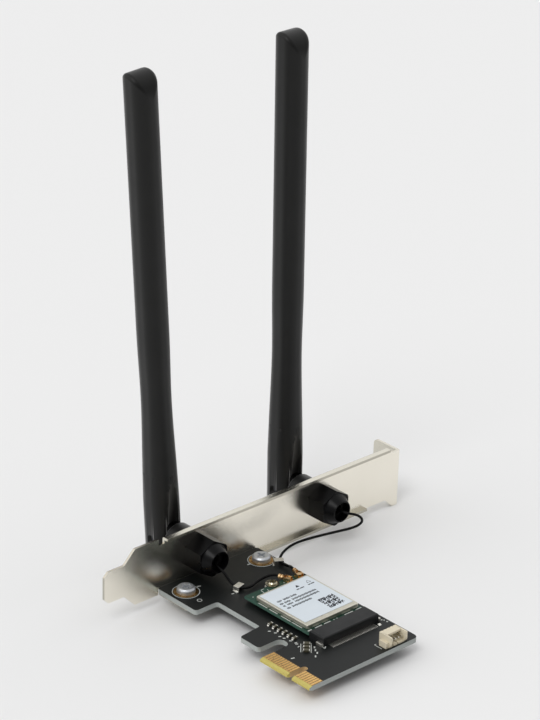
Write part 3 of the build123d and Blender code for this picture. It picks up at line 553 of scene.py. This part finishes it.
# White dashes and part outlines on the module's own board
moduleBars = (
    (34.85, -27.8, 34.85, -31.7, 0.34), (34.85, -32.5, 34.85, -36.0, 0.34),
    (34.85, -37.5, 34.85, -41.6, 0.34), (34.85, -42.1, 34.85, -46.35, 0.34),
    (34.9, -48.75, 36.4, -48.75, 0.5), (37.75, -48.75, 40.4, -48.75, 0.48),
    (41.35, -48.75, 43.8, -48.75, 0.48), (45.0, -48.75, 45.35, -48.75, 0.5),
    (46.2, -48.75, 46.55, -48.75, 0.5), (49.4, -48.75, 52.7, -48.75, 0.42),
    (50.35, -48.6, 50.2, -49.6, 0.22), (53.9, -48.8, 56.1, -48.8, 0.42),
    (54.25, -48.7, 54.1, -49.6, 0.22), (40.4, -22.75, 41.6, -22.75, 0.2),
    (40.3, -23.0, 40.05, -24.8, 0.2), (42.2, -23.6, 41.85, -24.8, 0.2), (52.5, -22.7, 52.4, -23.8, 0.2),
    (48.4, -23.9, 48.9, -23.75, 0.25),
)
shape = bmesh.new()
addBars(shape, moduleBars, moduleTop, moduleTop + legend["thickMm"])
addPrism(shape, discOutline(35.95, -24.3, 0.2), moduleTop, moduleTop + legend["thickMm"])
addPiece("moduleLegend", shape, "ink", "card")
print("stage: legend")

# Print on the label: rows of plain bars, two corner pointers and a checked square, with no words or code
printed = {"thickMm": 0.012, "barMm": 0.95, "square": (47.3, -39.4), "cells": 19, "cellMm": 0.305,
           "stepMm": 0.45, "strokeMm": 0.31, "startMm": 0.15, "short": 0.7, "frame": 7}
printRows = (
    (-33.0, ((37.5, 39.4), (39.9, 42.6), (42.8, 45.1))),
    (-34.55, ((37.2, 38.6), (39.0, 41.6), (42.0, 51.9))),
    (-35.95, ((37.2, 38.4), (38.8, 41.4), (41.8, 51.5))), (-37.55, ((37.3, 38.8), (39.3, 47.2))),
)
shape = bmesh.new()
printTop = labelTop + printed["thickMm"]
for y, words in printRows:
    for start, end in words:
        for i in range(int((end - start) / printed["stepMm"])):
            tall = printed["barMm"] * (printed["short"] if (i * 5 + int(start)) % 3 else 1.0)
            x = start + printed["stepMm"] * i + printed["startMm"]
            addPrism(shape, barOutline(x, y, printed["strokeMm"], tall), labelTop, printTop)
addPrism(shape, ((47.45, -30.25), (48.95, -30.25), (48.35, -29.05)), labelTop, printTop)
addBars(shape, ((46.8, -31.25, 47.9, -31.25, 0.42), (48.1, -31.25, 49.7, -31.25, 0.42),
                (51.4, -31.2, 52.3, -31.2, 0.42), (52.5, -31.2, 53.8, -31.2, 0.42),
                (51.9, -30.2, 53.5, -30.2, 0.13), (51.9, -30.2, 52.8, -29.05, 0.13),
                (53.5, -30.2, 52.8, -29.05, 0.13)), labelTop, printTop)
rims = (0, printed["cells"] - 1)
for i in range(printed["cells"]):
    for j in range(printed["cells"]):
        framed = i in rims and j < printed["frame"] or j in rims and i < printed["frame"]
        if framed or (i * i * 3 + j * 5 + i * j * j) % 7 < 4:  # an arbitrary pattern
            x = printed["square"][0] + (i + 0.5) * printed["cellMm"]
            y = printed["square"][1] - (j + 0.5) * printed["cellMm"]
            addPrism(shape, barOutline(x, y, printed["cellMm"], printed["cellMm"]), labelTop, printTop)
addPiece("labelPrint", shape, "print", "card")
print("stage: label print")

# Coaxial plugs: two prongs round a low cap, a tail and two crimps round the lead's end (millimetres)
plugs = {"low": 4.61, "prongLow": 0.04, "prongTop": 1.0, "capRadius": 0.77, "capLow": 0.58,
         "capTop": 0.78, "tail": (1.5, 3.1, 0.55), "tailTop": 0.75, "crimpLift": 0.42,
         "crimpRadius": 0.78, "crimps": ((1.7, 2.25), (2.55, 3.1)), "left": (50.29, -23.85, 107.0),
         "right": (54.49, -24.05, 75.0), "capSteps": 32, "crimpSteps": 13, "crimpFromDeg": -15,
         "crimpSweepDeg": 210}
crimpSteps = plugs["crimpSteps"]
prong = ((-1.0, 0.8), (-1.0, 1.0), (0.7, 1.06), (1.6, 0.62), (1.6, 0.3), (1.0, 0.8))
for side in ("left", "right"):
    x, y, angle = plugs[side]
    along = Vector((math.cos(math.radians(angle)), math.sin(math.radians(angle)), 0))
    across = Vector((-along.y, along.x, 0))
    middle = Vector((x, y, plugs["low"]))
    shape = bmesh.new()
    for hand in (1, -1):
        outline = [(middle + along * a + across * c * hand)[:2] for a, c in prong]
        addPrism(shape, outline, plugs["low"] + plugs["prongLow"], plugs["low"] + plugs["prongTop"])
    addPrism(shape, discOutline(x, y, plugs["capRadius"], plugs["capSteps"]), plugs["low"] + plugs["capLow"],
             plugs["low"] + plugs["capTop"])
    near, far, half = plugs["tail"]
    tailCorners = ((near, -half), (far, -half), (far, half), (near, half))
    outline = [(middle + along * a + across * c)[:2] for a, c in tailCorners]
    addPrism(shape, outline, plugs["low"] + plugs["prongLow"], plugs["low"] + plugs["tailTop"])
    for near, far in plugs["crimps"]:
        ends = []
        for reach in (near, far):
            centre = middle + along * reach + Vector((0, 0, plugs["crimpLift"]))
            arc = []
            for i in range(crimpSteps):
                turn = math.radians(plugs["crimpFromDeg"] + plugs["crimpSweepDeg"] * i / (crimpSteps - 1))
                spoke = across * math.cos(turn) + Vector((0, 0, 1)) * math.sin(turn)
                arc.append(centre + spoke * plugs["crimpRadius"])
            ends.append([shape.verts.new(at(*point)) for point in arc])
        shape.faces.new(ends[0])
        shape.faces.new(ends[1][::-1])
        for i in range(crimpSteps):
            j = (i + 1) % crimpSteps
            shape.faces.new((ends[0][j], ends[0][i], ends[1][i], ends[1][j]))
    bmesh.ops.recalc_face_normals(shape, faces=shape.faces)
    piece = addPiece("forkedPlug_" + side, shape, "plug", "card", 40)
    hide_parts("coax_plug_" + side)
print("stage: plugs")

# Plated-through holes round each board screw, drawn as thin dark discs on the pads: painted shade in place of
# the open holes
vias = {"radiusMm": 0.24, "ringMm": 3.25, "count": 10, "thickMm": 0.012}
padTop = (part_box("screw_pads")[1].z - cardZero.z) / mm
shape = bmesh.new()
for x, y in legend["screws"]:
    for i in range(vias["count"]):
        turn = math.tau * (i + 0.5) / vias["count"]
        place = (x + vias["ringMm"] * math.cos(turn), y + vias["ringMm"] * math.sin(turn))
        addPrism(shape, discOutline(*place, vias["radiusMm"], 12), padTop, padTop + vias["thickMm"])
addPiece("padVias", shape, "via", "card")
print("stage: pads")

# Wire header: its roof, walls, split floor, feet and ribs (card millimetres)
header = {"left": 48.3, "right": 54.75, "back": -64.1, "ribs": -64.5, "front": -69.0, "roofFront": -66.7,
          "top": 6.02, "lipSteps": ((0.8, 0.0), (0.5, 0.7), (0.0, 1.5)), "overlap": 0.1, "hair": 0.01,
          "ribLap": 0.5, "ribFront": 0.3, "floorInset": 0.75, "footLap": 0.3, "footInset": 1.0,
          "footShort": 1.1, "wall": 0.48, "roof": 0.6, "floor": 0.55, "footReach": 1.05,
          "footHeight": 1.75, "backWall": 0.9, "slots": (49.7, 50.1, 51.6, 52.0),
          "notches": (49.6, 50.95, 52.2, 53.4), "notchMm": 0.26}


def addBlock(shape, fromX, toX, fromY, toY, low, high):
    addPrism(shape, ((fromX, fromY), (toX, fromY), (toX, toY), (fromX, toY)), low, high)


def addWall(shape, fromX, toX, profile):  # closed wall across the card, from an outline of (y, z)
    first, second = ([shape.verts.new(at(x, y, z)) for y, z in profile] for x in (fromX, toX))
    shape.faces.new(first)
    shape.faces.new(second[::-1])
    for i in range(len(profile)):
        j = (i + 1) % len(profile)
        shape.faces.new((first[j], first[i], second[i], second[j]))


shape = bmesh.new()
inLeft, inRight = header["left"] + header["wall"], header["right"] - header["wall"]
cheek = [(header["ribs"], boardTop)]
cheek += [(header["front"] + inset, boardTop + rise) for inset, rise in header["lipSteps"]]
cheek += [(header["front"], header["top"]), (header["ribs"], header["top"])]
addWall(shape, header["left"], inLeft, cheek)
addWall(shape, inRight, header["right"], cheek)
addBlock(shape, inLeft - header["overlap"], inRight + header["overlap"],
         header["ribs"] - header["backWall"], header["ribs"] - 2 * header["hair"], boardTop,
         header["top"] - header["hair"])
addBlock(shape, inLeft - header["overlap"], inRight + header["overlap"], header["roofFront"],
         header["ribs"] - header["ribLap"], header["top"] - header["roof"], header["top"])
floorEdges = (inLeft - header["overlap"],) + header["slots"] + (inRight + header["overlap"],)
for fromX, toX in zip(floorEdges[::2], floorEdges[1::2]):
    addBlock(shape, fromX, toX, header["front"] + header["floorInset"], header["ribs"] - header["ribLap"],
             boardTop, boardTop + header["floor"])
ribEdges = [header["left"]]
for middle in header["notches"]:
    ribEdges += [middle - header["notchMm"] / 2, middle + header["notchMm"] / 2]
ribEdges.append(header["right"])
for fromX, toX in zip(ribEdges[::2], ribEdges[1::2]):
    addBlock(shape, fromX + header["hair"] / 2, toX - header["hair"] / 2,
             header["ribs"] - header["ribFront"], header["back"], boardTop,
             header["top"] - header["hair"] / 2)
leftFoot = (header["left"] - header["footReach"], header["left"] + header["footLap"])
rightFoot = (header["right"] - header["footLap"], header["right"] + header["footReach"])
for fromX, toX in (leftFoot, rightFoot):
    addBlock(shape, fromX, toX, header["front"] + header["footInset"],
             header["back"] - header["footShort"], boardTop, boardTop + header["footHeight"])
bmesh.ops.recalc_face_normals(shape, faces=shape.faces)
piece = addPiece("headerHousing", shape, "header", "card")
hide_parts("header_housing")
print("stage: header")

# Solder at the outer ends of the socket's contacts
joints = {"firstX": 36.64, "pitch": 0.5, "count": 36, "width": 0.2, "fromY": -57.68, "toY": -57.5,
          "height": 0.2, "endPad": (54.95, 55.9, -57.5, -56.8), "endHeight": 0.35}
shape = bmesh.new()
for i in range(joints["count"]):
    x = joints["firstX"] + joints["pitch"] * i
    addWall(shape, x - joints["width"] / 2, x + joints["width"] / 2,
            ((joints["fromY"], boardTop), (joints["toY"], boardTop),
             (joints["toY"], boardTop + joints["height"])))
fromX, toX, fromY, toY = joints["endPad"]
addWall(shape, fromX, toX, ((fromY, boardTop), (toY, boardTop), (toY, boardTop + joints["endHeight"])))
bmesh.ops.recalc_face_normals(shape, faces=shape.faces)
addPiece("socketSolder", shape, "tin", "card")

# Solder fillets at both ends of each chip
fillets = {"row": (31.2, -37.0), "rowPitch": 2.05, "rowCount": 6, "rowHalf": 0.8, "lane": (30.45, -53.1),
           "lanePitch": 1.9, "laneCount": 3, "laneHalf": 1.0, "laneDeg": -45.0, "height": 0.32,
           "nearReach": 0.2, "farReach": 0.5, "rowWidth": 0.6, "laneWidth": 1.0, "laneReach": 0.25}


def addFillet(shape, x, y, angleDeg, width, reach, height):  # wedge whose tall side stands at a chip's end
    turn = math.radians(angleDeg)
    along = Vector((math.cos(turn), math.sin(turn), 0))
    across = Vector((-along.y, along.x, 0)) * width / 2
    foot = Vector((x, y, boardTop))
    tall = Vector((0, 0, height))
    spots = (foot + across, foot - across, foot - across + along * reach, foot + across + along * reach,
             foot + across + tall, foot - across + tall)
    a, b, c, d, e, f = (shape.verts.new(at(*spot)) for spot in spots)
    for corners in ((a, b, c, d), (b, a, e, f), (f, e, d, c), (a, d, e), (c, b, f)):
        shape.faces.new(corners)


shape = bmesh.new()
for i in range(fillets["rowCount"]):
    x, y = fillets["row"][0], fillets["row"][1] - i * fillets["rowPitch"]
    addFillet(shape, x - fillets["rowHalf"], y, 180, fillets["rowWidth"], fillets["nearReach"],
              fillets["height"])
    addFillet(shape, x + fillets["rowHalf"], y, 0, fillets["rowWidth"], fillets["farReach"],
              fillets["height"])
laneTurn = math.radians(fillets["laneDeg"])
for i in range(fillets["laneCount"]):
    step = (i - (fillets["laneCount"] - 1) / 2) * fillets["lanePitch"]
    x = fillets["lane"][0] - math.sin(laneTurn) * step
    y = fillets["lane"][1] + math.cos(laneTurn) * step
    for end in (1, -1):
        addFillet(shape, x + end * fillets["laneHalf"] * math.cos(laneTurn),
                  y + end * fillets["laneHalf"] * math.sin(laneTurn),
                  fillets["laneDeg"] + (0 if end > 0 else 180), fillets["laneWidth"], fillets["laneReach"],
                  fillets["height"])
bmesh.ops.recalc_face_normals(shape, faces=shape.faces)
addPiece("chipSolder", shape, "tin", "card")
print("stage: solder")

# Studio: a pale floor, an even sky that is darker behind the camera, and one soft key
studio = {"floor": "ebebeb", "floorSize": 14, "sky": "ffffff", "base": 0.34, "dim": 0.12, "key": 0.75,
          "keyAngle": 25, "keyFrom": (-0.55, -0.2, 0.8), "behind": (-0.6, -0.75, 0.1), "behindTo": 0.95,
          "floorDrop": 0.00005, "floorRough": 0.9, "floorGloss": 0.1}
floorShape = bmesh.new()
half = studio["floorSize"] / 2
floorCorners = ((-half, -half), (half, -half), (half, half), (-half, half))
floorShape.faces.new([floorShape.verts.new((x, y, 0)) for x, y in floorCorners])
floorMesh = bpy.data.meshes.new("studioFloor")
floorShape.to_mesh(floorMesh)
floorShape.free()
floor = bpy.data.objects.new("studioFloor", floorMesh)
floor.location.z = -studio["floorDrop"]
bpy.context.scene.collection.objects.link(floor)
paint, tree, shader, where = startMaterial("matteStudioPaint")
shader.inputs["Base Color"].default_value = linear(studio["floor"])
shader.inputs["Roughness"].default_value = studio["floorRough"]
shader.inputs["Specular IOR Level"].default_value = studio["floorGloss"]
floorMesh.materials.append(paint)

world = bpy.data.worlds.new("studioSky")
world.use_nodes = True
bpy.context.scene.world = world
tree = world.node_tree
sky = tree.nodes["Background"]
where = addNode(tree, "ShaderNodeTexCoord")
total = None
lobes = (((0, 0, 1), 0.1, 1.0, 0.55), ((-0.75, 0.45, 0.25), 0.55, 0.98, 0.9),
         ((0.85, 0.3, 0.3), 0.6, 0.98, 0.5))
for direction, start, end, strength in lobes:
    facing = addNode(tree, "ShaderNodeVectorMath", {0: where.outputs["Generated"],
                                                    1: Vector(direction).normalized()},
                     operation="DOT_PRODUCT")
    lobe = addNode(tree, "ShaderNodeMapRange", {"Value": facing.outputs["Value"], "From Min": start,
                                                "From Max": end, "To Min": 0.0,
                                                "To Max": strength}, interpolation_type="SMOOTHSTEP")
    last = lobe.outputs["Result"]
    total = last if total is None else addNode(tree, "ShaderNodeMath", {0: total, 1: last}).outputs["Value"]
behind = addNode(tree, "ShaderNodeVectorMath", {0: where.outputs["Generated"],
                                                1: Vector(studio["behind"]).normalized()},
                 operation="DOT_PRODUCT")
dim = addNode(tree, "ShaderNodeMapRange", {"Value": behind.outputs["Value"], "From Min": 0.0,
                                           "From Max": studio["behindTo"], "To Min": studio["base"],
                                           "To Max": studio["dim"]}, interpolation_type="SMOOTHSTEP")
total = addNode(tree, "ShaderNodeMath", {0: total, 1: dim.outputs["Result"]}).outputs["Value"]
tree.links.new(total, sky.inputs["Strength"])
sky.inputs["Color"].default_value = linear(studio["sky"])

key = bpy.data.lights.new("softKey", "SUN")
key.energy = studio["key"]
key.angle = math.radians(studio["keyAngle"])
keyLamp = bpy.data.objects.new("softKey", key)
keyLamp.rotation_euler = Vector(studio["keyFrom"]).to_track_quat("Z", "Y").to_euler()
bpy.context.scene.collection.objects.link(keyLamp)
print("stage: studio")

# Camera at the photograph's angle
view = {"place": (-427.55, -523.72, 394.30), "azimuth": -0.7487, "elevation": 0.4342, "roll": 0.0275,
        "lens": 134.3, "shiftX": 9.2 / 720, "shiftY": 6.6 / 720, "sensor": 36, "clip": 0.05}
azimuth, elevation, roll = view["azimuth"], view["elevation"], view["roll"]
back = Vector((math.sin(azimuth) * math.cos(elevation), -math.cos(azimuth) * math.cos(elevation),
               math.sin(elevation)))
right = Vector((math.cos(azimuth), math.sin(azimuth), 0))
up = back.cross(right)
sideways = right * math.cos(roll) + up * math.sin(roll)
upright = up * math.cos(roll) - right * math.sin(roll)
cameraData = bpy.data.cameras.new("photoCamera")
cameraData.sensor_width = view["sensor"]
cameraData.lens = view["lens"]
cameraData.shift_x = view["shiftX"]
cameraData.shift_y = view["shiftY"]
cameraData.clip_start = view["clip"]
camera = bpy.data.objects.new("photoCamera", cameraData)
camera.matrix_world = Matrix((sideways, upright, back)).transposed().to_4x4()
camera.location = at(*view["place"])
bpy.context.scene.collection.objects.link(camera)
bpy.context.scene.camera = camera
bpy.context.scene.view_settings.view_transform = "Standard"
print("stage: camera")
